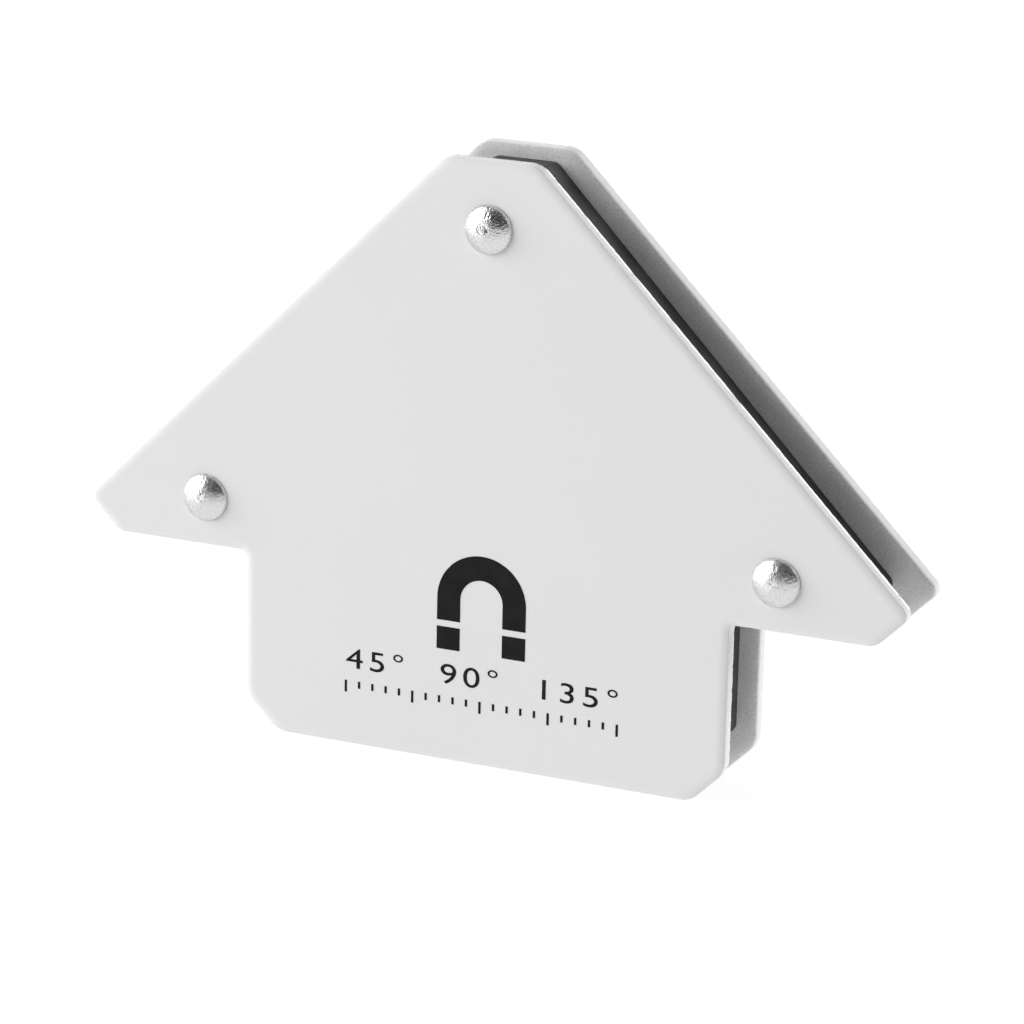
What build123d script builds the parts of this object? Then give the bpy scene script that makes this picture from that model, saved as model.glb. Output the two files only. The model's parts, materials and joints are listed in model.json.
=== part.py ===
"""A small welding magnet holder: two arrow-shaped steel plates riveted over a moulded core.

The core keeps the plates apart and carries four ferrite blocks, whose poles face the plates.
Three rivets go through both plates, the core and a steel sleeve each, and hold it all together.
Nothing on it moves. Millimetres, +Z up, X across the arrow, Y through its thickness.
The origin is on the floor, under the middle of the base edge.
"""
from build123d import *
import os

# Plates: one stamping, used twice
PLATE_WIDTH = 120.0
PLATE_HEIGHT = 83.5
PLATE_THICKNESS = 2.0
APEX_WIDTH = 13.2
TIP_CHAMFER = 4.7
STEM_WIDTH = 70.8
SHOULDER_HEIGHT = 25.4
BASE_CHAMFER = 4.8
APEX_RADIUS = 3.2
TIP_RADIUS = 1.5
TIP_CHAMFER_RADIUS = 2.6
NOTCH_RADIUS = 1.0
BASE_RADIUS = 3.2
ROLL_WIDTH = 1.3
ROLL_DEPTH = 0.25

# Core: a moulding that stands back from the edge of the plates all the way round
CORE_THICKNESS = 10.0
CORE_INSET = 2.9
CORE_TOP_INSET = 1.9
CORE_TOP_WIDTH = 8.8
CORE_TIP_REACH = 54.0
CORE_TIP_HEIGHT = 30.4
CORE_TIP_CHAMFER = 2.0
CORE_BASE_CHAMFER = 4.1
CORE_RADIUS = 1.4
CORE_NOTCH_RADIUS = 1.0

# Ferrite blocks, all of one stock size
MAGNET_LENGTH = 40.0
MAGNET_WIDTH = 15.0
MAGNET_EDGE_RADIUS = 0.4
POCKET_CLEARANCE = 0.1
SLOPE_MAGNET_DEPTH = 13.1
SLOPE_MAGNET_DISTANCE = 34.5
BASE_MAGNET_HEIGHT = 12.4
CENTRE_MAGNET_HEIGHT = 29.5

# Rivets and the sleeves round them
APEX_RIVET_HEIGHT = 74.3
TIP_RIVET_REACH = 41.6
TIP_RIVET_HEIGHT = 32.2
SHANK_DIAMETER = 4.0
HEAD_DIAMETER = 6.8
HEAD_HEIGHT = 1.75
HEAD_RIM_HEIGHT = 0.3
SLEEVE_DIAMETER = 6.0
RADIAL_CLEARANCE = 0.05

OUTER_FACE = CORE_THICKNESS / 2 + PLATE_THICKNESS
THROUGH = 4 * OUTER_FACE
SLOPE_MIDDLE_SUM = PLATE_HEIGHT + APEX_WIDTH / 2
ROOT_HALF = 0.5 ** 0.5

RIVET_PLACES = {
    "apex": (0.0, APEX_RIVET_HEIGHT),
    "left": (-TIP_RIVET_REACH, TIP_RIVET_HEIGHT),
    "right": (TIP_RIVET_REACH, TIP_RIVET_HEIGHT),
}


def mirrored_outline(half, radii):
    """A closed face from the corners of its right half, top to bottom, with rounded corners."""
    left = [(-x, z) for x, z in reversed(half)]
    path = FilletPolyline(*half, *left, radius=radii + radii[::-1], close=True)
    return make_face(Plane.XZ * path)


def plate_outline():
    """The arrow: a flat apex, two slopes at 45 degrees, clipped tips and a stem with clipped corners."""
    half_width = PLATE_WIDTH / 2
    stem = STEM_WIDTH / 2
    tip_height = SLOPE_MIDDLE_SUM - half_width
    half = [
        (APEX_WIDTH / 2, PLATE_HEIGHT),
        (half_width, tip_height),
        (half_width - TIP_CHAMFER, SHOULDER_HEIGHT),
        (stem, SHOULDER_HEIGHT),
        (stem, BASE_CHAMFER),
        (stem - BASE_CHAMFER, 0),
    ]
    radii = [APEX_RADIUS, TIP_RADIUS, TIP_CHAMFER_RADIUS, NOTCH_RADIUS, BASE_RADIUS, BASE_RADIUS]
    return mirrored_outline(half, radii)


def core_outline():
    """The core follows the arrow, a few millimetres inside it, and stops further back in the tips."""
    shoulder = SHOULDER_HEIGHT + CORE_INSET
    stem = STEM_WIDTH / 2 - CORE_INSET
    half = [
        (CORE_TOP_WIDTH / 2, PLATE_HEIGHT - CORE_TOP_INSET),
        (CORE_TIP_REACH, CORE_TIP_HEIGHT),
        (CORE_TIP_REACH - CORE_TIP_CHAMFER, shoulder),
        (stem, shoulder),
        (stem, CORE_INSET + CORE_BASE_CHAMFER),
        (stem - CORE_BASE_CHAMFER, CORE_INSET),
    ]
    radii = [CORE_RADIUS] * 3 + [CORE_NOTCH_RADIUS] + [CORE_RADIUS] * 2
    return mirrored_outline(half, radii)


def across(x, z, diameter, length):
    """A round bar through the thickness, centred on the middle plane."""
    return Pos(x, 0, z) * Rot(90, 0, 0) * Cylinder(diameter / 2, length)


def plate(outer_y):
    """One plate, from its burred face at outer_y to its rolled face nearer the front.

    Both are fitted the same way round, so the press has rolled the front rim of each.
    """
    blank = Pos(0, outer_y, 0) * extrude(plate_outline(), PLATE_THICKNESS, dir=(0, -1, 0))
    rolled_face = blank.faces().sort_by(Axis.Y)[0]
    blank = chamfer(rolled_face.edges(), length=ROLL_WIDTH, length2=ROLL_DEPTH, reference=rolled_face)
    for x, z in RIVET_PLACES.values():
        blank -= across(x, z, SHANK_DIAMETER + 2 * RADIAL_CLEARANCE, THROUGH)
    return blank


def magnet_places():
    """Where each block lies: its middle, and its turn about Y."""
    along = SLOPE_MAGNET_DISTANCE * ROOT_HALF
    inwards = SLOPE_MAGNET_DEPTH * ROOT_HALF
    x = APEX_WIDTH / 2 + along - inwards
    z = PLATE_HEIGHT - along - inwards
    return {
        "left": (-x, z, -45),
        "right": (x, z, 45),
        "centre": (0, CENTRE_MAGNET_HEIGHT, 0),
        "base": (0, BASE_MAGNET_HEIGHT, 0),
    }


def block(place, grow=0.0):
    """A block across the whole gap, or with grow the pocket that it drops into."""
    x, z, turn = place
    body = Box(MAGNET_LENGTH + 2 * grow, CORE_THICKNESS, MAGNET_WIDTH + 2 * grow)
    body = fillet(body.edges().filter_by(Axis.Y), MAGNET_EDGE_RADIUS + grow)
    return Pos(x, 0, z) * Rot(0, turn, 0) * body


def core():
    """The moulding: the outline, less a pocket for each block and a hole for each sleeve."""
    body = extrude(core_outline(), CORE_THICKNESS / 2, both=True)
    for place in magnet_places().values():
        body -= block(place, POCKET_CLEARANCE)
    for x, z in RIVET_PLACES.values():
        body -= across(x, z, SLEEVE_DIAMETER + 2 * RADIAL_CLEARANCE, THROUGH)
    return body


def sleeve(x, z):
    """The tube round a rivet, which stops the press from squeezing the plates on to the core."""
    tube = across(x, z, SLEEVE_DIAMETER, CORE_THICKNESS)
    return tube - across(x, z, SHANK_DIAMETER + 2 * RADIAL_CLEARANCE, THROUGH)


def rivet(x, z):
    """A round shank with the same low domed head at each end, each with a thin upright rim."""
    head = HEAD_DIAMETER / 2
    shank = SHANK_DIAMETER / 2
    rim = OUTER_FACE + HEAD_RIM_HEIGHT
    crown = OUTER_FACE + HEAD_HEIGHT
    dome_depth = crown - rim
    dome_radius = (head ** 2 + dome_depth ** 2) / (2 * dome_depth)
    outline = [
        RadiusArc((0, crown), (head, rim), dome_radius),
        Polyline((head, rim), (head, OUTER_FACE), (shank, OUTER_FACE), (shank, 0), (0, 0), (0, crown)),
    ]
    end = revolve(make_face(outline), Axis.Y)
    return Pos(x, 0, z) * (end + mirror(end, Plane.XZ))


def parts():
    """Every piece by the name of its file."""
    pieces = {
        "front_plate": plate(-CORE_THICKNESS / 2),
        "back_plate": plate(OUTER_FACE),
        "spacer_core": core(),
    }
    for name, place in magnet_places().items():
        pieces[f"magnet_{name}"] = block(place)
    for name, (x, z) in RIVET_PLACES.items():
        pieces[f"sleeve_{name}"] = sleeve(x, z)
        pieces[f"rivet_{name}"] = rivet(x, z)
    return pieces


os.makedirs("parts", exist_ok=True)
for node, solid in parts().items():
    solid.label = node
    export_step(solid, f"parts/{node}.step")
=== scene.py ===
# %% [markdown]
# # A welding magnet holder
#
# The object is a sandwich: two arrow-shaped steel plates, a black moulded core between them with
# four ferrite blocks in its pockets, and three rivets that hold it all together. The CAD model
# already has every piece at its real size and place, so it is loaded first, as a fixed frame.
#
# What the CAD leaves plain is remade here: the plates get their soft rolled edges, the rivets
# their hammered heads, and the front plate its printed marks. The core, the blocks and the
# sleeves have the right shape already, so they only get better materials.

# %% Load the CAD model
import json
import math

import bpy
from mathutils import Matrix, Vector

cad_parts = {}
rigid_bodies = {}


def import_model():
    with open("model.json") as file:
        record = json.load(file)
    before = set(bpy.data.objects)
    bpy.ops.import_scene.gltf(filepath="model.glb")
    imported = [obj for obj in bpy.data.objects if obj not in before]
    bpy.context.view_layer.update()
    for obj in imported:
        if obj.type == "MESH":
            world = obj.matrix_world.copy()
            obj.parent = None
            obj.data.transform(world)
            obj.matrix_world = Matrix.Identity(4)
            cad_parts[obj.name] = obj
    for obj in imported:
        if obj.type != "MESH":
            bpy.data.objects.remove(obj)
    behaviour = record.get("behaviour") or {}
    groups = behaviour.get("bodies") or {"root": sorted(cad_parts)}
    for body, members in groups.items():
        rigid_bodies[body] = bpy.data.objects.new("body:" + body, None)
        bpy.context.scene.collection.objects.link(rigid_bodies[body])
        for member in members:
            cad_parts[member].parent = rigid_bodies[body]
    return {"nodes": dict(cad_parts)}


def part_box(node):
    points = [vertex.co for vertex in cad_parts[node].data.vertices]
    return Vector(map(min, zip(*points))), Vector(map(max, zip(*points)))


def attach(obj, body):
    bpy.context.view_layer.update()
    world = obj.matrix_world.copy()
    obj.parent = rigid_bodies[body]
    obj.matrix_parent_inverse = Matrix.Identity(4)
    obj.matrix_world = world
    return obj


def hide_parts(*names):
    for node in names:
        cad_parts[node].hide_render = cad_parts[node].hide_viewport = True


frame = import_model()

for leftover in [item for item in bpy.data.objects if item.name in ("Cube", "Light", "Camera")]:
    bpy.data.objects.remove(leftover)
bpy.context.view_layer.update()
MM = 0.001

# %% [markdown]
# ## The camera
#
# The object is seen a little from the right and from above, through a long lens, so that its
# level and upright edges stay almost parallel. A camera can be placed by typing a location, but
# an azimuth, an elevation and a distance from a target say what is meant, and a small roll tips
# the picture as a hand-held or hand-cropped view does. The three axes of the camera are worked
# out from those angles and written straight into its matrix.

# %% Camera
CAMERA_AZIMUTH = math.radians(23.32)
CAMERA_ELEVATION = math.radians(16.84)
CAMERA_ROLL = math.radians(1.25)
CAMERA_DISTANCE = 555.8 * MM
CAMERA_TARGET = Vector((1.5, -0.84, 34.5)) * MM
CAMERA_LENS = 145.63
SENSOR_WIDTH = 36
CLIP_START = 10 * MM
CLIP_END = 20


def camera_matrix(azimuth, elevation, roll, distance, target):
    """The pose of a camera that looks at the target from a given side."""
    back = Vector((
        math.sin(azimuth) * math.cos(elevation),
        -math.cos(azimuth) * math.cos(elevation),
        math.sin(elevation),
    ))
    level = Vector((math.cos(azimuth), math.sin(azimuth), 0))
    upright = back.cross(level)
    right = level * math.cos(roll) + upright * math.sin(roll)
    up = upright * math.cos(roll) - level * math.sin(roll)
    pose = Matrix((right, up, back)).transposed().to_4x4()
    pose.translation = target + back * distance
    return pose


camera_data = bpy.data.cameras.new("camera")
camera_data.sensor_width = SENSOR_WIDTH
camera_data.lens = CAMERA_LENS
camera_data.clip_start = CLIP_START
camera_data.clip_end = CLIP_END
camera = bpy.data.objects.new("camera", camera_data)
bpy.context.scene.collection.objects.link(camera)
camera.matrix_world = camera_matrix(
    CAMERA_AZIMUTH, CAMERA_ELEVATION, CAMERA_ROLL, CAMERA_DISTANCE, CAMERA_TARGET)
bpy.context.scene.camera = camera
print("camera at mm:", [round(value / MM, 1) for value in camera.location])

# %% [markdown]
# ## Helpers for working by hand in code
#
# Blender's operators act on whatever is selected, just as they do under a hand on the mouse.
# So each step is: go to object mode, mark the vertices, edges or faces that are wanted by their
# place, go into edit mode, and call the operator. These helpers do the first part. Flat shapes
# are added lying on the floor, so they are turned a quarter to face the front, as the plates do.

# %% Selecting
SELECT_MODES = {
    "vertices": (True, False, False),
    "edges": (False, True, False),
    "polygons": (False, False, True),
}


def deselect_all():
    """Leaves edit mode and clears the selection, so that the next operator starts clean."""
    if bpy.context.object and bpy.context.object.mode == "EDIT":
        bpy.ops.object.mode_set(mode="OBJECT")
    bpy.ops.object.select_all(action="DESELECT")


def select_only(piece):
    """Selects one piece, and makes it the active one, in object mode."""
    deselect_all()
    piece.select_set(True)
    bpy.context.view_layer.objects.active = piece


def pick(piece, kind, test):
    """Goes into edit mode with only the vertices, edges or polygons selected that pass the test."""
    bpy.ops.object.mode_set(mode="OBJECT")
    for group in (piece.data.vertices, piece.data.edges, piece.data.polygons):
        group.foreach_set("select", [False] * len(group))
    chosen = [item for item in getattr(piece.data, kind) if test(item)]
    for item in chosen:
        item.select = True
    bpy.context.tool_settings.mesh_select_mode = SELECT_MODES[kind]
    bpy.ops.object.mode_set(mode="EDIT")
    return len(chosen)


def ends(piece, edge):
    """The two end points of an edge."""
    return [piece.data.vertices[index].co for index in edge.vertices]


def object_mode():
    """Leaves edit mode, which writes the edits to the mesh."""
    bpy.ops.object.mode_set(mode="OBJECT")


# %% Applying modifiers
def add_modifier(piece, kind, **settings):
    """Adds a modifier with its settings and applies it, so that it becomes plain mesh."""
    modifier = piece.modifiers.new(kind.lower(), kind)
    for name, value in settings.items():
        setattr(modifier, name, value)
    select_only(piece)
    bpy.ops.object.modifier_apply(modifier=modifier.name)


# %% Copying and deleting
FACING_FRONT = (math.pi / 2, 0, 0)


def copy_piece(original, name):
    """A copy under a new name, with a mesh of its own."""
    piece = original.copy()
    piece.data = original.data.copy()
    piece.name = piece.data.name = name
    bpy.context.scene.collection.objects.link(piece)
    return piece


def remove(piece):
    """Deletes a helper object and its mesh."""
    mesh = piece.data
    bpy.data.objects.remove(piece)
    bpy.data.meshes.remove(mesh)


# %% [markdown]
# ## The plate's outline
#
# The real plate is punched from 2 mm sheet in one stroke. By hand it could be drawn point by
# point, but cutting is closer to how the die works, and easy to read back: a rectangle is added
# at the plate's full size, its top corners are bisected away to make the slopes, two square
# pieces are taken out below the arms, and the tips and the stem's corners are clipped. The
# corners are then rounded with a vertex bevel.

# %% Plate sizes
APEX_HALF = 6.6 * MM
STEM_HALF = 35.4 * MM
SHOULDER = 25.4 * MM
TIP_CHAMFER_START = 55.3 * MM
BASE_CHAMFER = 4.8 * MM
ARM_REACH = 66 * MM
plate_low, plate_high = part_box("front_plate")
HEIGHT = plate_high.z
THICKNESS = plate_high.y - plate_low.y
FUZZ = 0.01 * MM
CUT_THRESHOLD = FUZZ / 10
print("plate height and thickness in mm:", round(HEIGHT / MM, 2), round(THICKNESS / MM, 2))


# %% Cutting the blank
def new_blank(name):
    """A rectangle in the plane of the burr, as wide as the arms would be if they weren't clipped."""
    deselect_all()
    bpy.ops.mesh.primitive_plane_add(size=1, location=(0, 0, HEIGHT / 2), rotation=FACING_FRONT)
    blank = bpy.context.object
    blank.name = blank.data.name = name
    blank.scale = (2 * ARM_REACH, HEIGHT, 1)
    bpy.ops.object.transform_apply(location=True, rotation=True, scale=True)
    return blank


def cut(piece, where, point, normal, clear):
    """Bisects the faces that pass the test with a plane, and clears what lies on its far side if asked."""
    pick(piece, "polygons", where)
    bpy.ops.mesh.bisect(
        plane_co=(point[0], 0, point[1]), plane_no=(normal[0], 0, normal[1]),
        clear_outer=clear, clear_inner=False, threshold=CUT_THRESHOLD)
    object_mode()


def cut_outline(blank):
    """Cuts the rectangle down to the arrow with sharp corners, one side after the other."""
    for side in (-1, 1):
        cut(blank, lambda face: True, (side * APEX_HALF, HEIGHT), (side, 1), clear=True)
        cut(blank, lambda face: True, (side * STEM_HALF, 0), (side, 0), clear=False)
    cut(blank, lambda face: True, (0, SHOULDER), (0, -1), clear=False)
    pick(blank, "polygons", lambda face: face.center.z < SHOULDER and abs(face.center.x) > STEM_HALF)
    bpy.ops.mesh.delete(type="FACE")
    for side in (-1, 1):
        cut(blank, lambda face: face.center.z > SHOULDER,
            (side * TIP_CHAMFER_START, SHOULDER), (side, -1), clear=True)
        cut(blank, lambda face: face.center.z < SHOULDER,
            (side * STEM_HALF, BASE_CHAMFER), (side, -1), clear=True)
    pick(blank, "polygons", lambda face: True)
    bpy.ops.mesh.dissolve_limited(angle_limit=math.radians(1))
    object_mode()
    print("outline corners:", len(blank.data.vertices), "faces:", len(blank.data.polygons))


# %% [markdown]
# ## From outline to stamping
#
# A press leaves its marks. The corners of the blank are rounded, because the die's corners are. On
# the side that enters the die first the sheet is dragged down before it shears, so the face
# rolls over gently for more than a millimetre and then ends in a crease. Below the crease the
# cut is smooth, then it tapers in where the sheet tore, and it flares out in a thin ragged burr.
#
# So the blank starts at the burr and is extruded in steps to the crease. From there the cap is
# inset again and again, a little less steeply each time, which makes the roll. Both plates sit
# the same way round, with the roll to the front, so one stamping is made and each plate is a copy
# of it. The tear, the burr and the crease get their ragged shape on the copies, as no two are alike.

# %% Rounding the corners
APEX_RADIUS = 3.2 * MM
BASE_RADIUS = 3.2 * MM
TIP_RADIUS = 1.5 * MM
TIP_CHAMFER_RADIUS = 2.6 * MM
NOTCH_RADIUS = 1.0 * MM
CORNER_SEGMENTS = 8
EIGHTH_TURN = math.radians(45)
QUARTER_TURN = math.radians(90)


def round_corners(piece, test, radius, turn):
    """Rounds the corners that pass the test. An arc starts its tangent length away from the corner."""
    pick(piece, "vertices", lambda vertex: test(abs(vertex.co.x), vertex.co.z))
    bpy.ops.mesh.bevel(
        offset=radius * math.tan(turn / 2), segments=CORNER_SEGMENTS, affect="VERTICES", profile=0.5)
    object_mode()


def near(value, target):
    """True when two lengths agree to a hundredth of a millimetre."""
    return abs(value - target) < FUZZ


def round_outline(piece):
    """Rounds every corner of the arrow."""
    round_corners(piece, lambda x, z: near(z, HEIGHT), APEX_RADIUS, EIGHTH_TURN)
    round_corners(piece, lambda x, z: near(z, 0) or near(z, BASE_CHAMFER), BASE_RADIUS, EIGHTH_TURN)
    round_corners(piece, lambda x, z: near(x, TIP_CHAMFER_START), TIP_CHAMFER_RADIUS, EIGHTH_TURN)
    round_corners(piece, lambda x, z: near(x, STEM_HALF) and near(z, SHOULDER), NOTCH_RADIUS, QUARTER_TURN)
    round_corners(piece, lambda x, z: x > TIP_CHAMFER_START + TIP_RADIUS, TIP_RADIUS, QUARTER_TURN)


# %% The sheared edge
ROLL_WIDTH = 1.3 * MM
ROLL_SLOPE = math.radians(22)
ROLL_STEPS = 4
ROLL_RADIUS = ROLL_WIDTH / math.sin(ROLL_SLOPE)
ROLL_DEPTH = ROLL_RADIUS * (1 - math.cos(ROLL_SLOPE))
TEAR_DEPTH = 0.8 * MM
BURR_HEIGHT = 0.28 * MM
BURR_INSET = 0.04 * MM
RAGGEDNESS = 0.035 * MM
NICK_DEPTH = 0.09 * MM
NICK_SHARE = 0.08
BURR_RADIUS = 0.03 * MM
BURR_SEGMENTS = 2
CREASE_SEGMENTS = 3
CAP_CORNERS = 100
RING_TOLERANCE = 0.05 * MM
RIM_SPACING = 0.7 * MM
FLAT_BAND = 0.1 * MM


def refine_edges(piece, longest):
    """Halves every edge that is too long until none is."""
    def too_long(edge):
        first, second = ends(piece, edge)
        return (first - second).length > longest
    while pick(piece, "edges", too_long):
        bpy.ops.mesh.subdivide(number_cuts=1)
    object_mode()


def pull_out(piece):
    """Extrudes the blank from the burr's tip, past its root and the tear's start, to the crease."""
    pick(piece, "polygons", lambda face: True)
    for length in (BURR_HEIGHT, TEAR_DEPTH - BURR_HEIGHT, THICKNESS - ROLL_DEPTH - TEAR_DEPTH):
        bpy.ops.mesh.extrude_region_move(TRANSFORM_OT_translate={"value": (0, -length, 0)})
    bpy.ops.mesh.select_all(action="SELECT")
    bpy.ops.mesh.normals_make_consistent(inside=False)
    object_mode()


def roll_over(piece):
    """Insets the cap at the crease in steps that follow an arc until they are level."""
    crease = ROLL_DEPTH - THICKNESS
    pick(piece, "polygons", lambda face: near(face.center.y, crease))
    for step in range(ROLL_STEPS):
        steep, shallow = (ROLL_SLOPE * (1 - (step + end) / ROLL_STEPS) for end in (0, 1))
        bpy.ops.mesh.inset(
            thickness=ROLL_RADIUS * (math.sin(steep) - math.sin(shallow)),
            depth=ROLL_RADIUS * (math.cos(shallow) - math.cos(steep)))
    bpy.ops.mesh.inset(thickness=FLAT_BAND)
    object_mode()


def shrink_ring(piece, level, amount, ruffle, seed):
    """Draws a sharp ring of the wall in, keeps it level, and ruffles it."""
    pick(piece, "vertices", lambda vertex: near(vertex.co.y, level))
    side = 1 if near(level, 0) else -1
    bpy.ops.transform.shrink_fatten(value=-amount * math.sqrt(2))
    bpy.ops.transform.translate(value=(0, side * amount, 0))
    bpy.ops.transform.vertex_random(offset=ruffle, seed=seed)
    object_mode()


def draw_in_root(piece, taper, seed):
    """Draws in the ring at the burr's root, unevenly."""
    pick(piece, "vertices", lambda vertex: near(vertex.co.y, -BURR_HEIGHT))
    bpy.ops.transform.shrink_fatten(value=-taper)
    bpy.ops.transform.vertex_random(offset=RAGGEDNESS, seed=seed)
    object_mode()


def nick_burr(piece, seed):
    """Dents the burr's tip in a few places."""
    pick(piece, "vertices", lambda vertex: near(vertex.co.y, 0))
    bpy.ops.mesh.select_random(ratio=1 - NICK_SHARE, seed=seed, action="DESELECT")
    bpy.ops.transform.shrink_fatten(value=-NICK_DEPTH * math.sqrt(2))
    bpy.ops.transform.translate(value=(0, NICK_DEPTH, 0))
    object_mode()


def near_level(piece, edge, level):
    """True when an edge runs along the ruffled ring at this level."""
    return all(abs(end.y - level) < RING_TOLERANCE for end in ends(piece, edge))


def finish_rims(piece, crease_radius, taper, seed):
    """Tapers the torn zone, ruffles the burr and the crease, and takes their sharpness off.

    The cap inside the burr is the only face there with very many corners. It is inset and levelled.
    """
    crease = ROLL_DEPTH - THICKNESS
    draw_in_root(piece, taper, seed)
    nick_burr(piece, seed)
    shrink_ring(piece, 0, BURR_INSET, RAGGEDNESS, seed)
    shrink_ring(piece, crease, RAGGEDNESS, RAGGEDNESS, seed + 1)
    for level, radius, segments in (
            (crease, crease_radius, CREASE_SEGMENTS), (0, BURR_RADIUS, BURR_SEGMENTS)):
        pick(piece, "edges", lambda edge: near_level(piece, edge, level))
        bpy.ops.mesh.bevel(offset=radius, segments=segments, affect="EDGES", profile=0.5)
    pick(piece, "polygons", lambda face: (
        len(face.vertices) > CAP_CORNERS and abs(face.center.y) < RING_TOLERANCE))
    bpy.ops.mesh.inset(thickness=FLAT_BAND)
    bpy.ops.transform.resize(value=(1, 0, 1), center_override=(0, 0, 0))
    object_mode()


# %% Punching the rivet holes
HOLE_RADIUS = 2.05 * MM
HOLE_STEPS = 48
PUNCH_LENGTH = 60 * MM
rivet_nodes = ("rivet_apex", "rivet_left", "rivet_right")
rivet_centres = {node: sum(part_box(node), Vector()) / 2 for node in rivet_nodes}


def punch_holes(piece):
    """Takes a round hole for each rivet through the plate."""
    for centre in rivet_centres.values():
        deselect_all()
        bpy.ops.mesh.primitive_cylinder_add(
            vertices=HOLE_STEPS, radius=HOLE_RADIUS, depth=PUNCH_LENGTH,
            location=centre, rotation=FACING_FRONT)
        punch = bpy.context.object
        add_modifier(piece, "BOOLEAN", operation="DIFFERENCE", object=punch, solver="EXACT")
        remove(punch)


# %% Two plates from one stamping
PLATE_SMOOTH_ANGLE = math.radians(32)


def stamp(name):
    """The outline, pulled out and rolled over, with its burr at y = 0."""
    stamping = new_blank(name)
    cut_outline(stamping)
    round_outline(stamping)
    refine_edges(stamping, RIM_SPACING)
    pull_out(stamping)
    roll_over(stamping)
    return stamping


def make_plate(stamping, name, node, crease_radius, taper, seed):
    """A copy of the stamping, with rims of its own, moved to where the node is."""
    plate = copy_piece(stamping, name)
    select_only(plate)
    finish_rims(plate, crease_radius, taper, seed)
    burr_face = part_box(node)[1].y
    plate.data.transform(Matrix.Translation((0, burr_face, 0)))
    punch_holes(plate)
    select_only(plate)
    bpy.ops.object.shade_smooth_by_angle(angle=PLATE_SMOOTH_ANGLE)
    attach(plate, "root")
    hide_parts(node)
    print(name, "has", len(plate.data.polygons), "faces")
    return plate


stamping = stamp("stamping")
front_plate = make_plate(
    stamping, "coated_front_plate", "front_plate", crease_radius=0.15 * MM, taper=0.15 * MM, seed=3)
back_plate = make_plate(
    stamping, "coated_back_plate", "back_plate", crease_radius=0.24 * MM, taper=0.06 * MM, seed=8)
remove(stamping)

# %% [markdown]
# ## The rivets
#
# A rivet starts as a plain pin and is struck at both ends until low heads form. The heads are
# nearly spherical, with a thin upright rim, and the striking leaves them dimpled. A circle is
# the natural start: it is the shank's end, and each step of extruding and scaling the ring
# makes the next part of the shape, out under the head, up the rim and over the dome.
# The dimples are real geometry, from a displacement by a fine cloud texture that reads the
# place of each point, so that no two heads are the same. A few marks that the die left near the
# crowns, a button in a groove and some pits, are pressed into the mesh one by one.

# %% Rivet sizes
SHANK_RADIUS = 2.0 * MM
HEAD_RIM = 0.3 * MM
UNDERSIDE_SHARE = 0.97
RIM_SHARES = (0.3, 0.5)
DOME_SHARE = 0.94
HEAD_RINGS = 26
ROUND_STEPS = 96
RIVET_SMOOTH_ANGLE = math.radians(50)
rivet_low, rivet_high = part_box("rivet_apex")
HEAD_RADIUS = (rivet_high.x - rivet_low.x) / 2
SHANK_END = abs(plate_low.y)
HEAD_HEIGHT = rivet_high.y - SHANK_END
DIMPLE_DEPTH = 0.03 * MM
DOME_DEPTH = HEAD_HEIGHT - HEAD_RIM - DIMPLE_DEPTH
DOME_RADIUS = (HEAD_RADIUS ** 2 + DOME_DEPTH ** 2) / (2 * DOME_DEPTH)
print("rivet head in mm:", round(HEAD_RADIUS / MM, 2), "by", round(HEAD_HEIGHT / MM, 2))


# %% Shaping a rivet
def dome_height(radius):
    """How far the dome stands over its rim at a distance from the axis."""
    return math.sqrt(DOME_RADIUS ** 2 - radius ** 2) - (DOME_RADIUS - DOME_DEPTH)


def next_ring(state, radius, depth):
    """Extrudes the open ring on to a new radius and a new distance from the middle plane."""
    old_radius, old_depth = state
    bpy.ops.mesh.extrude_region_move(TRANSFORM_OT_translate={"value": (0, old_depth - depth, 0)})
    factor = radius / old_radius
    bpy.ops.transform.resize(value=(factor, 1, factor), center_override=(0, -depth, 0))
    return radius, depth


def rivet_blank():
    """A rivet on the Y axis, made as one half and mirrored."""
    deselect_all()
    bpy.ops.mesh.primitive_circle_add(
        vertices=ROUND_STEPS, radius=SHANK_RADIUS, fill_type="NOTHING", rotation=FACING_FRONT)
    rivet = bpy.context.object
    bpy.ops.object.transform_apply(location=True, rotation=True, scale=True)
    pick(rivet, "edges", lambda edge: True)
    ring = next_ring((SHANK_RADIUS, 0), SHANK_RADIUS, SHANK_END)
    ring = next_ring(ring, HEAD_RADIUS * UNDERSIDE_SHARE, SHANK_END)
    for share in RIM_SHARES:
        ring = next_ring(ring, HEAD_RADIUS - DIMPLE_DEPTH, SHANK_END + HEAD_RIM * share)
    for step in range(HEAD_RINGS):
        radius = HEAD_RADIUS * DOME_SHARE * (1 - step / HEAD_RINGS)
        ring = next_ring(ring, radius, SHANK_END + HEAD_RIM + dome_height(radius))
    bpy.ops.mesh.merge(type="CENTER")
    bpy.ops.mesh.select_all(action="SELECT")
    bpy.ops.mesh.normals_make_consistent(inside=False)
    object_mode()
    add_modifier(rivet, "MIRROR", use_axis=(False, True, False), use_clip=True, merge_threshold=FUZZ)
    add_modifier(rivet, "SUBSURF", levels=1, render_levels=1)
    return rivet


# %% Striking the heads
DIMPLES = {
    "wide_dimples": (1.1 * MM, DIMPLE_DEPTH),
    "fine_dimples": (0.35 * MM, DIMPLE_DEPTH / 3),
}


def hammer(rivet):
    """Dimples the heads with two sizes of cloud."""
    for name, (size, depth) in DIMPLES.items():
        cloud = bpy.data.textures.new(name, "CLOUDS")
        cloud.noise_scale = size
        cloud.noise_depth = 1
        add_modifier(rivet, "DISPLACE", texture=cloud, texture_coords="LOCAL", strength=depth, mid_level=1)


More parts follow.
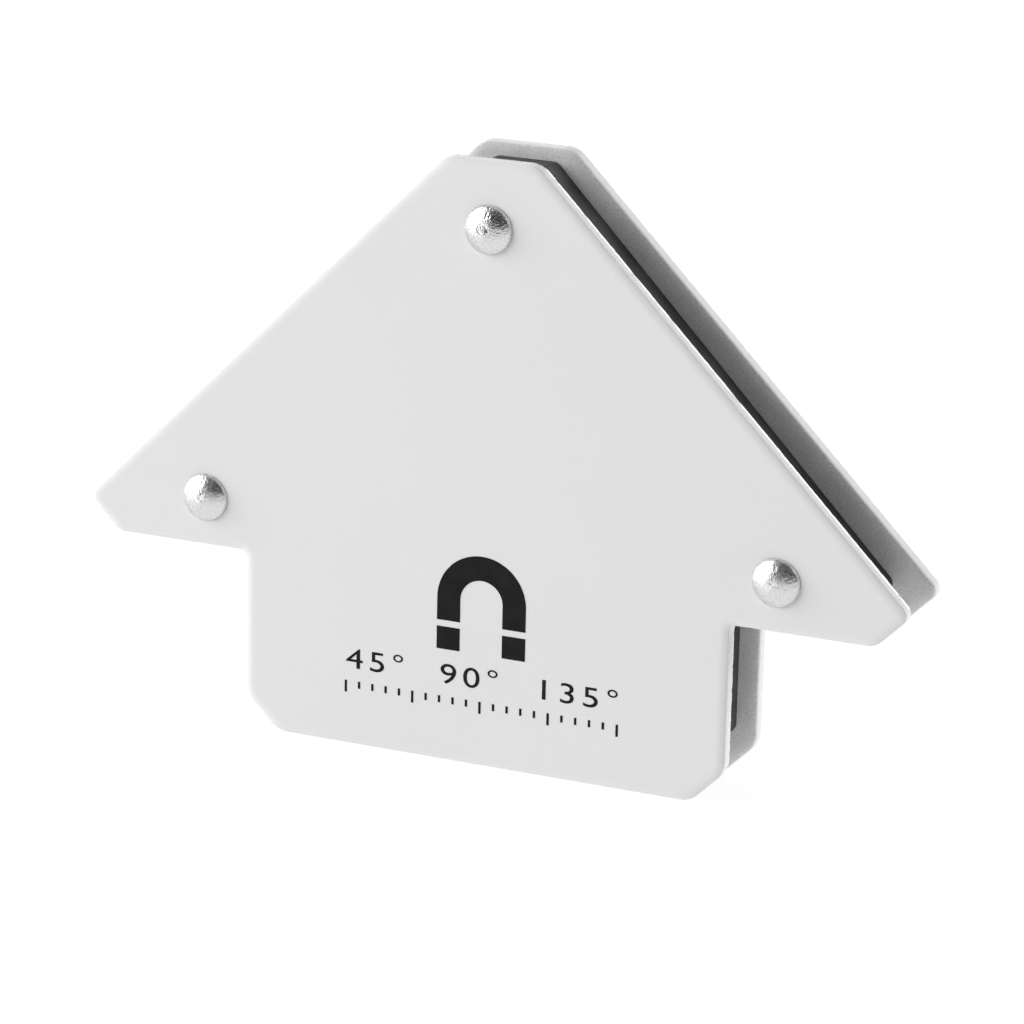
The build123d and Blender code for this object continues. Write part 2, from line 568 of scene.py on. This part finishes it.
DIE_MARKS = {
    "rivet_apex": ((-0.40, 0.35, 0.70, 0.12), (-0.40, 0.35, 0.48, -0.13), (0.35, 0.25, 0.22, 0.06)),
    "rivet_left": ((0.75, -0.85, 0.20, 0.11), (-0.2, 0.3, 0.42, 0.04), (0.1, 0.9, 0.12, 0.06)),
    "rivet_right": ((-0.3, 0.2, 0.50, 0.05), (0.5, 0.6, 0.15, 0.07), (-0.9, -0.5, 0.12, 0.06)),
}


def press_marks(rivet, node):
    """Presses round marks into the front head: across, up, radius and depth, all in millimetres."""
    centre = rivet_centres[node]
    for across, up, radius, depth in DIE_MARKS[node]:
        mark = Vector((centre.x + across * MM, 0, centre.z + up * MM))
        pick(rivet, "vertices", lambda vertex: (
            vertex.co.y < -SHANK_END - HEAD_RIM
            and (Vector((vertex.co.x, 0, vertex.co.z)) - mark).length < radius * MM))
        bpy.ops.transform.translate(value=(0, depth * MM, 0))
        object_mode()


def place_rivet(blank_rivet, node):
    """Copies the blank with its own mesh, moves the mesh to its hole and strikes it there."""
    rivet = copy_piece(blank_rivet, "struck_" + node)
    rivet.data.transform(Matrix.Translation(rivet_centres[node]))
    press_marks(rivet, node)
    hammer(rivet)
    select_only(rivet)
    bpy.ops.object.shade_smooth_by_angle(angle=RIVET_SMOOTH_ANGLE)
    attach(rivet, "root")
    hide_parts(node)
    return rivet


blank_rivet = rivet_blank()
rivets = {node: place_rivet(blank_rivet, node) for node in rivet_nodes}
remove(blank_rivet)
print("faces in each rivet:", [len(rivet.data.polygons) for rivet in rivets.values()])

# %% [markdown]
# ## The printed marks
#
# Holders like this carry a mark low on the front plate. Here it is a plain horseshoe magnet, the
# three angles that the outline gives, and a short row of ticks. Ink could be painted by the
# plate's own material, but as pieces of its own, a few hundredths of a millimetre thick, the
# marks keep crisp edges at any distance. The horseshoe is an inset circle with its lower half
# cut away and its legs pulled down; the numbers are text turned into mesh.

# %% Ink helpers
INK_THICKNESS = 0.03 * MM
INK_FACE = plate_low.y


def finish_ink(piece, name):
    """Gives flat ink its thickness, out from the plate, and files it."""
    pick(piece, "polygons", lambda face: True)
    bpy.ops.mesh.extrude_region_move(TRANSFORM_OT_translate={"value": (0, -INK_THICKNESS, 0)})
    bpy.ops.mesh.select_all(action="SELECT")
    bpy.ops.mesh.normals_make_consistent(inside=False)
    object_mode()
    piece.name = piece.data.name = name
    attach(piece, "root")
    print(name, "has", len(piece.data.polygons), "faces")
    return piece


# %% Horseshoe
SYMBOL_CENTRE = 23.2 * MM
SYMBOL_RADIUS = 6.5 * MM
SYMBOL_BAND = 3.4 * MM
SYMBOL_STEPS = 96
LEG_LENGTH = 3.2 * MM
TIP_GAP = 0.9 * MM
TIP_LENGTH = 3.2 * MM


def make_horseshoe():
    """A half ring with two legs, and a gap before each pole tip."""
    deselect_all()
    bpy.ops.mesh.primitive_circle_add(
        vertices=SYMBOL_STEPS, radius=SYMBOL_RADIUS, fill_type="NGON",
        location=(0, INK_FACE, SYMBOL_CENTRE), rotation=FACING_FRONT)
    piece = bpy.context.object
    bpy.ops.object.transform_apply(location=True, rotation=True, scale=True)
    pick(piece, "polygons", lambda face: True)
    bpy.ops.mesh.inset(thickness=SYMBOL_BAND)
    bpy.ops.mesh.delete(type="FACE")
    pick(piece, "polygons", lambda face: face.center.z < SYMBOL_CENTRE)
    bpy.ops.mesh.delete(type="FACE")
    level = SYMBOL_CENTRE
    for length in (LEG_LENGTH, TIP_GAP, TIP_LENGTH):
        pick(piece, "edges", lambda edge: all(near(end.z, level) for end in ends(piece, edge)))
        bpy.ops.mesh.extrude_region_move(TRANSFORM_OT_translate={"value": (0, 0, -length)})
        level -= length
    gap_middle = SYMBOL_CENTRE - LEG_LENGTH - TIP_GAP / 2
    pick(piece, "polygons", lambda face: near(face.center.z, gap_middle))
    bpy.ops.mesh.delete(type="ONLY_FACE")
    return finish_ink(piece, "printed_horseshoe")


horseshoe = make_horseshoe()

# %% Angles
ANGLES_TEXT = "45°  90°  135°"
ANGLES_BASELINE = 11.0 * MM
ANGLES_HEIGHT = 3.0 * MM
ANGLES_WIDTH = 40.0 * MM
ANGLES_SPACING = 1.25


def make_angles():
    """The three angles as text, made a mesh, stood up on the plate and stretched to its width."""
    deselect_all()
    bpy.ops.object.text_add(location=(0, 0, 0))
    text = bpy.context.object
    text.data.body = ANGLES_TEXT
    text.data.align_x = "CENTER"
    text.data.space_character = ANGLES_SPACING
    bpy.ops.object.convert(target="MESH")
    piece = bpy.context.object
    xs = [vertex.co.x for vertex in piece.data.vertices]
    ys = [vertex.co.y for vertex in piece.data.vertices]
    width, height = max(xs) - min(xs), max(ys) - min(ys)
    piece.data.transform(Matrix.Translation((-(max(xs) + min(xs)) / 2, -min(ys), 0)))
    piece.scale = (ANGLES_WIDTH / width, ANGLES_HEIGHT / height, 1)
    piece.rotation_euler = FACING_FRONT
    piece.location = (0, INK_FACE, ANGLES_BASELINE)
    bpy.ops.object.transform_apply(location=True, rotation=True, scale=True)
    return finish_ink(piece, "printed_angles")


angles = make_angles()

# %% Ticks
TICK_COUNT = 21
TICK_PITCH = 2.0 * MM
TICK_WIDTH = 0.35 * MM
TICK_TOP = 9.2 * MM
TICK_LENGTH = 1.0 * MM
LONG_TICK_LENGTH = 1.7 * MM
LONG_TICK_EVERY = 5


def make_ticks():
    """A row of short lines, every fifth one longer: each is added as a plane of its own, and they are
    joined.
    """
    deselect_all()
    for index in range(TICK_COUNT):
        length = LONG_TICK_LENGTH if index % LONG_TICK_EVERY == 0 else TICK_LENGTH
        x = (index - (TICK_COUNT - 1) / 2) * TICK_PITCH
        bpy.ops.mesh.primitive_plane_add(
            size=1, location=(x, INK_FACE, TICK_TOP - length / 2), rotation=FACING_FRONT)
        bpy.context.object.scale = (TICK_WIDTH, length, 1)
    for tick in [item for item in bpy.data.objects if item.name.startswith("Plane")]:
        tick.select_set(True)
    bpy.ops.object.join()
    piece = bpy.context.object
    bpy.ops.object.transform_apply(location=True, rotation=True, scale=True)
    return finish_ink(piece, "printed_ticks")


ticks = make_ticks()

# %% [markdown]
# ## Finishes
#
# Every finish is built from nodes, and every pattern reads object coordinates, which here are
# the real places in metres. So the size of a grain is simply one over the noise's scale, and a
# pattern runs on without a seam from a face round a rolled edge. A constant, such as how metallic
# a metal is, is set on the shader itself; what varies is wired in.

# %% Finish helpers
NOISE_RANGE = (0.3, 0.7)


def new_finish(name, metallic=0.0):
    """An empty finish: its material, its node tree, its shader and its place coordinates."""
    material = bpy.data.materials.new(name)
    material.use_nodes = True
    tree = material.node_tree
    shader = tree.nodes["Principled BSDF"]
    shader.inputs["Metallic"].default_value = metallic
    coordinates = tree.nodes.new("ShaderNodeTexCoord")
    return material, tree, shader, coordinates.outputs["Object"]


def set_finish(piece, material):
    """Puts one finish on a whole piece."""
    piece.data.materials.clear()
    piece.data.materials.append(material)


def noise(tree, place, size, detail=2.0):
    """A cloudy value from 0 to 1 whose lumps are about this size."""
    node = tree.nodes.new("ShaderNodeTexNoise")
    node.inputs["Scale"].default_value = 1 / size
    node.inputs["Detail"].default_value = detail
    tree.links.new(place, node.inputs["Vector"])
    return node.outputs["Fac"]


def remap(tree, value, old, new):
    """Moves a value from one range to another, and holds it there."""
    node = tree.nodes.new("ShaderNodeMapRange")
    node.inputs["From Min"].default_value, node.inputs["From Max"].default_value = old
    node.inputs["To Min"].default_value, node.inputs["To Max"].default_value = new
    tree.links.new(value, node.inputs["Value"])
    return node.outputs["Result"]


def vary(tree, cloud, new):
    """Moves a noise, nearly all of which lies in the middle of its range, to another range."""
    return remap(tree, cloud, NOISE_RANGE, new)


def around(middle, spread):
    """The range that lies this far on both sides of a middle."""
    return middle - spread, middle + spread


def calculate(tree, operation, first, second):
    """One step of arithmetic on two values, either of which may be a plain number."""
    node = tree.nodes.new("ShaderNodeMath")
    node.operation = operation
    for socket, value in zip(node.inputs, (first, second)):
        if isinstance(value, (int, float)):
            socket.default_value = value
        else:
            tree.links.new(value, socket)
    return node.outputs["Value"]


def grey(tree, value, socket):
    """Uses one value for red, green and blue."""
    node = tree.nodes.new("ShaderNodeCombineColor")
    for name in ("Red", "Green", "Blue"):
        tree.links.new(value, node.inputs[name])
    tree.links.new(node.outputs["Color"], socket)


def stretch(tree, place, scale, shift=(0, 0, 0)):
    """The same place, moved and then scaled along each axis."""
    node = tree.nodes.new("ShaderNodeMapping")
    node.inputs["Location"].default_value = [-a * b for a, b in zip(shift, scale)]
    node.inputs["Scale"].default_value = scale
    tree.links.new(place, node.inputs["Vector"])
    return node.outputs["Vector"]


def bump(tree, shader, height, depth):
    """Raises the surface by up to this depth where the value is 1, in the light only."""
    node = tree.nodes.new("ShaderNodeBump")
    node.inputs["Distance"].default_value = depth
    tree.links.new(height, node.inputs["Height"])
    tree.links.new(node.outputs["Normal"], shader.inputs["Normal"])


# %% [markdown]
# ### Powder coat
#
# The plates are coated with near-white powder that is baked on. It is satin rather than glossy,
# and has a faint orange peel, because the grains don't flow quite level. Here and there a grain
# of dust is baked in. On the sheared edges the coat is thinner, and the tool's drag marks, which
# run through the sheet, show under it, so the edges get a finish of their own, painted lighter than
# the face as painted light. So do the front plate's burr, which handling has rubbed smooth and which
# is painted near white as a painted glint, and the faces that look into the gap, which are painted
# darker as painted shade. One mesh can carry them all, with a slot for each on its faces.

# %% Powder coat
COAT_GREY = 0.80
COAT_GLOSS = (0.50, 0.62)
DRIFT_SIZE = 14 * MM
DRIFT_SPREAD = 0.006
PEEL_SIZE = 0.7 * MM
PEEL_DEPTH = 0.010 * MM
GRAIN_SIZE = 0.16 * MM
GRAIN_SPREAD = 0.012
DUST_SPACING = 3.2 * MM
DUST_RADIUS = 0.12 * MM
DUST_CELLS = (0.75, 1.0)
DUST_DARKENING = 0.16


def dust(tree, place):
    """1 on a few tiny round specks, 0 elsewhere: about one cell in four holds a speck."""
    cells = tree.nodes.new("ShaderNodeTexVoronoi")
    cells.inputs["Scale"].default_value = 1 / DUST_SPACING
    tree.links.new(place, cells.inputs["Vector"])
    split = tree.nodes.new("ShaderNodeSeparateColor")
    tree.links.new(cells.outputs["Color"], split.inputs["Color"])
    size = remap(tree, split.outputs["Red"], DUST_CELLS, (0.0, DUST_RADIUS / DUST_SPACING))
    return calculate(tree, "LESS_THAN", cells.outputs["Distance"], size)


def make_coat():
    """Near-white powder coat on flat metal."""
    material, tree, shader, place = new_finish("powder_coat")
    drift = vary(tree, noise(tree, place, DRIFT_SIZE), around(COAT_GREY, DRIFT_SPREAD))
    grain = vary(tree, noise(tree, place, GRAIN_SIZE), around(0, GRAIN_SPREAD))
    clean = calculate(tree, "ADD", drift, grain)
    specks = calculate(tree, "MULTIPLY", dust(tree, place), DUST_DARKENING)
    grey(tree, calculate(tree, "SUBTRACT", clean, specks), shader.inputs["Base Color"])
    gloss = vary(tree, noise(tree, place, PEEL_SIZE), COAT_GLOSS)
    tree.links.new(gloss, shader.inputs["Roughness"])
    peel = calculate(tree, "ADD", noise(tree, place, PEEL_SIZE), noise(tree, place, GRAIN_SIZE))
    bump(tree, shader, peel, PEEL_DEPTH)
    return material


# %% Coat on the sheared edge, painted lighter
# The cut sides are painted lighter than the face coat, as painted light; the drag marks vary the tone
# around that.
EDGE_LIT_TONE = (COAT_GREY + 0.03, COAT_GREY + 0.09)
EDGE_GLOSS = (0.45, 0.62)
DRAG_WIDTH = 0.35 * MM
DRAG_STRETCH = 0.12
DRAG_DEPTH = 0.02 * MM


def make_edge_lit_coat():
    """The same coat over a sheared edge, with drag marks through the sheet, painted lighter than the face
    as painted light on the cut sides.
    """
    material, tree, shader, place = new_finish("sheared_edge_lit_coat")
    drag = noise(tree, stretch(tree, place, (1, DRAG_STRETCH, 1)), DRAG_WIDTH, detail=3.0)
    grey(tree, vary(tree, drag, EDGE_LIT_TONE), shader.inputs["Base Color"])
    tree.links.new(vary(tree, drag, EDGE_GLOSS), shader.inputs["Roughness"])
    bump(tree, shader, calculate(tree, "ADD", drag, noise(tree, place, GRAIN_SIZE)), DRAG_DEPTH)
    return material


# %% Rubbed burr with a painted glint
BURR_METALLIC = 0.2
BURR_SPECULAR = 1.0
# The burr's near-white tone is a painted glint along the front plate's cut edge.
BURR_GLINT_TONE = (0.90, 0.98)
BURR_GLOSS = (0.22, 0.34)
RUB_SIZE = 0.6 * MM
RUB_DEPTH = 0.01 * MM


def make_burr_glint():
    """The burr, where handling has rubbed the coat thin and smooth, its tone painted near white as a
    painted glint.
    """
    material, tree, shader, place = new_finish("rubbed_burr_painted_glint", metallic=BURR_METALLIC)
    shader.inputs["Specular IOR Level"].default_value = BURR_SPECULAR
    rubbed = noise(tree, place, RUB_SIZE)
    grey(tree, vary(tree, rubbed, BURR_GLINT_TONE), shader.inputs["Base Color"])
    tree.links.new(vary(tree, rubbed, BURR_GLOSS), shader.inputs["Roughness"])
    bump(tree, shader, rubbed, RUB_DEPTH)
    return material


# %% Painted shade in the gap
GAP_GLOSS = (0.55, 0.70)
SMUDGE_SIZE = 2.2 * MM
SMUDGE_SPREAD = 0.03
BLOTCH_SIZE = 0.28 * MM
BLOTCH_SPREAD = 0.10
GAP_DEPTH = 0.01 * MM


def make_gap_shade_coat(name, tone):
    """The coat on a face that looks into the gap, painted darker as painted shade between the plates, and
    blotchy.
    """
    material, tree, shader, place = new_finish(name)
    smudges = vary(tree, noise(tree, place, SMUDGE_SIZE, detail=3.0), around(tone, SMUDGE_SPREAD))
    blotches = vary(tree, noise(tree, place, BLOTCH_SIZE, detail=3.0), around(0, BLOTCH_SPREAD))
    grey(tree, calculate(tree, "ADD", smudges, blotches), shader.inputs["Base Color"])
    tree.links.new(vary(tree, noise(tree, place, PEEL_SIZE), GAP_GLOSS), shader.inputs["Roughness"])
    bump(tree, shader, noise(tree, place, GRAIN_SIZE), GAP_DEPTH)
    return material


# %% Coating the plates
WALL_LIMIT = 0.7
FACE_SLOT, WALL_SLOT, BURR_SLOT, GAP_SLOT = range(4)


def coat_plate(plate, burr_coat, gap_shade_coat, gap_side):
    """Coats the plate, and gives its wall, its burr and the side that faces the gap their own coats, which
    carry painted light on the wall, a painted glint on the front burr and painted shade in the gap.
    """
    set_finish(plate, powder_coat)
    for material in (edge_lit_coat, burr_coat, gap_shade_coat):
        plate.data.materials.append(material)
    burr_root = max(vertex.co.y for vertex in plate.data.vertices) - BURR_HEIGHT
    for face in plate.data.polygons:
        if abs(face.normal.y) < WALL_LIMIT:
            on_burr = face.center.y > burr_root + RING_TOLERANCE
            face.material_index = BURR_SLOT if on_burr else WALL_SLOT
        else:
            face.material_index = GAP_SLOT if face.normal.y * gap_side > 0 else FACE_SLOT


powder_coat, edge_lit_coat = make_coat(), make_edge_lit_coat()
# The gap faces are painted darker as painted shade: the front plate's to 0.50, the back plate's to 0.76.
coat_plate(front_plate, make_burr_glint(), make_gap_shade_coat("front_gap_shade_coat", tone=0.50), gap_side=1)
coat_plate(back_plate, edge_lit_coat, make_gap_shade_coat("back_gap_shade_coat", tone=0.76), gap_side=-1)

# %% [markdown]
# ### Struck zinc
#
# The rivets are bright metal, but far from polished: the die drags the surface outwards as the
# head forms, so fine ridges run from the crown to the rim. Noise can be made to follow them by
# giving it the direction from the axis and the distance from it in place of plain coordinates:
# scaling the direction up makes the ridges narrow, and scaling the distance down makes them long.

# %% Struck zinc
RIDGE_COUNT_SCALE = 7.0
RIDGE_LENGTH = 1.3 * MM
PIT_SIZE = 0.28 * MM
ZINC_TONE = (0.62, 0.78)
ZINC_GLOSS_SPREAD = 0.08
STRIKES = {
    "rivet_apex": (0.24, 0.085 * MM),
    "rivet_left": (0.34, 0.055 * MM),
    "rivet_right": (0.34, 0.055 * MM),
}


def around_axis(tree, place, centre):
    """Direction from the rivet's axis in two values, and distance from it in a third."""
    from_centre = stretch(tree, place, (1, 0, 1), shift=centre)
    length = tree.nodes.new("ShaderNodeVectorMath")
    length.operation = "LENGTH"
    direction = tree.nodes.new("ShaderNodeVectorMath")
    direction.operation = "NORMALIZE"
    for node in (length, direction):
        tree.links.new(from_centre, node.inputs[0])
    split = tree.nodes.new("ShaderNodeSeparateXYZ")
    tree.links.new(direction.outputs["Vector"], split.inputs["Vector"])
    join = tree.nodes.new("ShaderNodeCombineXYZ")
    distance = length.outputs["Value"]
    for axis, socket in (("X", split.outputs["X"]), ("Y", split.outputs["Z"])):
        tree.links.new(calculate(tree, "MULTIPLY", socket, RIDGE_COUNT_SCALE), join.inputs[axis])
    tree.links.new(calculate(tree, "DIVIDE", distance, RIDGE_LENGTH), join.inputs["Z"])
    return join.outputs["Vector"]


def make_zinc(node):
    """Bright struck metal: ridges out from this rivet's crown, as its own strike left them."""
    roughness, depth = STRIKES[node]
    material, tree, shader, place = new_finish("struck_zinc_" + node, metallic=1.0)
    ridges = noise(tree, around_axis(tree, place, rivet_centres[node]), 1.0, detail=3.0)
    pits = noise(tree, place, PIT_SIZE, detail=4.0)
    both = calculate(tree, "ADD", ridges, pits)
    grey(tree, vary(tree, pits, ZINC_TONE), shader.inputs["Base Color"])
    gloss = vary(tree, pits, around(roughness, ZINC_GLOSS_SPREAD))
    tree.links.new(gloss, shader.inputs["Roughness"])
    bump(tree, shader, both, depth)
    return material


for node, rivet in rivets.items():
    set_finish(rivet, make_zinc(node))

# %% [markdown]
# ### Ink, moulding, ferrite and sleeve steel
#
# The ink is a dense matt black that lets a little of the coat's grain through. The core is black
# plastic with a fine spark-eroded texture from its mould. The ferrite blocks are sintered
# ceramic, dark and a little sparkly, and the sleeves are plain drawn steel; nobody sees these
# last two until the rivets are drilled out, but a part that is taken apart should still hold up.

# %% Darker finishes
MIXED_RANGE = (0.35, 0.65)
DRIFT_PER_GRAIN = 20
SPECKLE_GLOSS_SPREAD = 0.07
INK_SPECULAR = 0.1


def make_speckled(name, tone, spread, roughness, grain, depth, metallic=0.0):
    """A finish whose gloss and relief follow a fine grain, and its tone the grain and a slow drift."""
    material, tree, shader, place = new_finish(name, metallic)
    fine = noise(tree, place, grain, detail=3.0)
    slow = noise(tree, place, DRIFT_PER_GRAIN * grain)
    mixed = calculate(tree, "MULTIPLY", calculate(tree, "ADD", fine, slow), 0.5)
    grey(tree, remap(tree, mixed, MIXED_RANGE, around(tone, spread)), shader.inputs["Base Color"])
    gloss = vary(tree, fine, around(roughness, SPECKLE_GLOSS_SPREAD))
    tree.links.new(gloss, shader.inputs["Roughness"])
    bump(tree, shader, fine, depth)
    return material


ink = make_speckled(
    "printed_ink", tone=0.012, spread=0.004, roughness=0.60, grain=0.12 * MM, depth=0.004 * MM)
ink.node_tree.nodes["Principled BSDF"].inputs["Specular IOR Level"].default_value = INK_SPECULAR
moulding = make_speckled(
    "spark_eroded_moulding", tone=0.036, spread=0.026, roughness=0.50, grain=0.24 * MM, depth=0.020 * MM)
ferrite = make_speckled(
    "sintered_ferrite", tone=0.070, spread=0.020, roughness=0.62, grain=0.15 * MM, depth=0.012 * MM)
drawn_steel = make_speckled(
    "drawn_steel", tone=0.52, spread=0.05, roughness=0.35, grain=0.25 * MM, depth=0.006 * MM, metallic=1.0)

for piece in (horseshoe, angles, ticks):
    set_finish(piece, ink)
for node, piece in frame["nodes"].items():
    if node == "spacer_core":
        set_finish(piece, moulding)
    elif node.startswith("magnet"):
        set_finish(piece, ferrite)
    elif node.startswith("sleeve"):
        set_finish(piece, drawn_steel)
print("finishes:", [material.name for material in bpy.data.materials])

# %% [markdown]
# ## Floor and light
#
# The holder stands on a white sweep that glows of its own, as an underlit table does, so it stays
# white and the lower half of every bright rivet has something pale to reflect. A large softbox on
# the left lights the front, and makes the white patch on each head and the soft shadow on its
# other side. One behind on the right lights the cut edges, and weak ones behind on the left and
# overhead fill in. The front right is left dark, which gives the heads their contrast.

# %% Floor
FLOOR_SIZE = 6.0
FLOOR_GLOW = 0.93
FLOOR_TONE = 0.08
FLOOR_SPREAD = 0.01
FLOOR_PATCH = 0.4
FLOOR_ROUGHNESS = 0.9


def make_floor():
    """A wide pale plane under the object."""
    deselect_all()
    bpy.ops.mesh.primitive_plane_add(size=FLOOR_SIZE, location=(0, 0, plate_low.z))
    floor = bpy.context.object
    floor.name = "floor"
    material, tree, shader, place = new_finish("pale_floor")
    shader.inputs["Roughness"].default_value = FLOOR_ROUGHNESS
    tone = vary(tree, noise(tree, place, FLOOR_PATCH), around(FLOOR_TONE, FLOOR_SPREAD))
    grey(tree, tone, shader.inputs["Base Color"])
    shader.inputs["Emission Color"].default_value = (1, 1, 1, 1)
    shader.inputs["Emission Strength"].default_value = FLOOR_GLOW
    set_finish(floor, material)


make_floor()

# %% Softboxes
SOFTBOX_DISTANCE = 1.6


def softbox(name, azimuth, elevation, width, height, brightness):
    """A flat rectangular light that faces the middle of the object from a given side.

    Brightness is what the softbox looks like in a mirror, where the floor is about 1.
    """
    light = bpy.data.lights.new(name, "AREA")
    light.shape = "RECTANGLE"
    light.size, light.size_y = width, height
    light.energy = brightness * math.pi * width * height
    lamp = bpy.data.objects.new(name, light)
    lamp.matrix_world = camera_matrix(
        math.radians(azimuth), math.radians(elevation), 0, SOFTBOX_DISTANCE, CAMERA_TARGET)
    lamp.visible_camera = False
    bpy.context.scene.collection.objects.link(lamp)


softbox("key_left", azimuth=-74, elevation=22, width=2.1, height=1.5, brightness=4.8)
softbox("back_left", azimuth=-145, elevation=14, width=1.8, height=0.9, brightness=0.8)
softbox("back_right", azimuth=125, elevation=30, width=2.2, height=1.3, brightness=2.5)
softbox("top", azimuth=0, elevation=88, width=1.4, height=1.4, brightness=0.3)

# %% Studio walls
WORLD_GLOW = 0.05
world = bpy.data.worlds.new("studio")
world.use_nodes = True
background = world.node_tree.nodes["Background"]
background.inputs["Color"].default_value = (1, 1, 1, 1)
background.inputs["Strength"].default_value = WORLD_GLOW
bpy.context.scene.world = world
bpy.context.scene.view_settings.view_transform = "Standard"
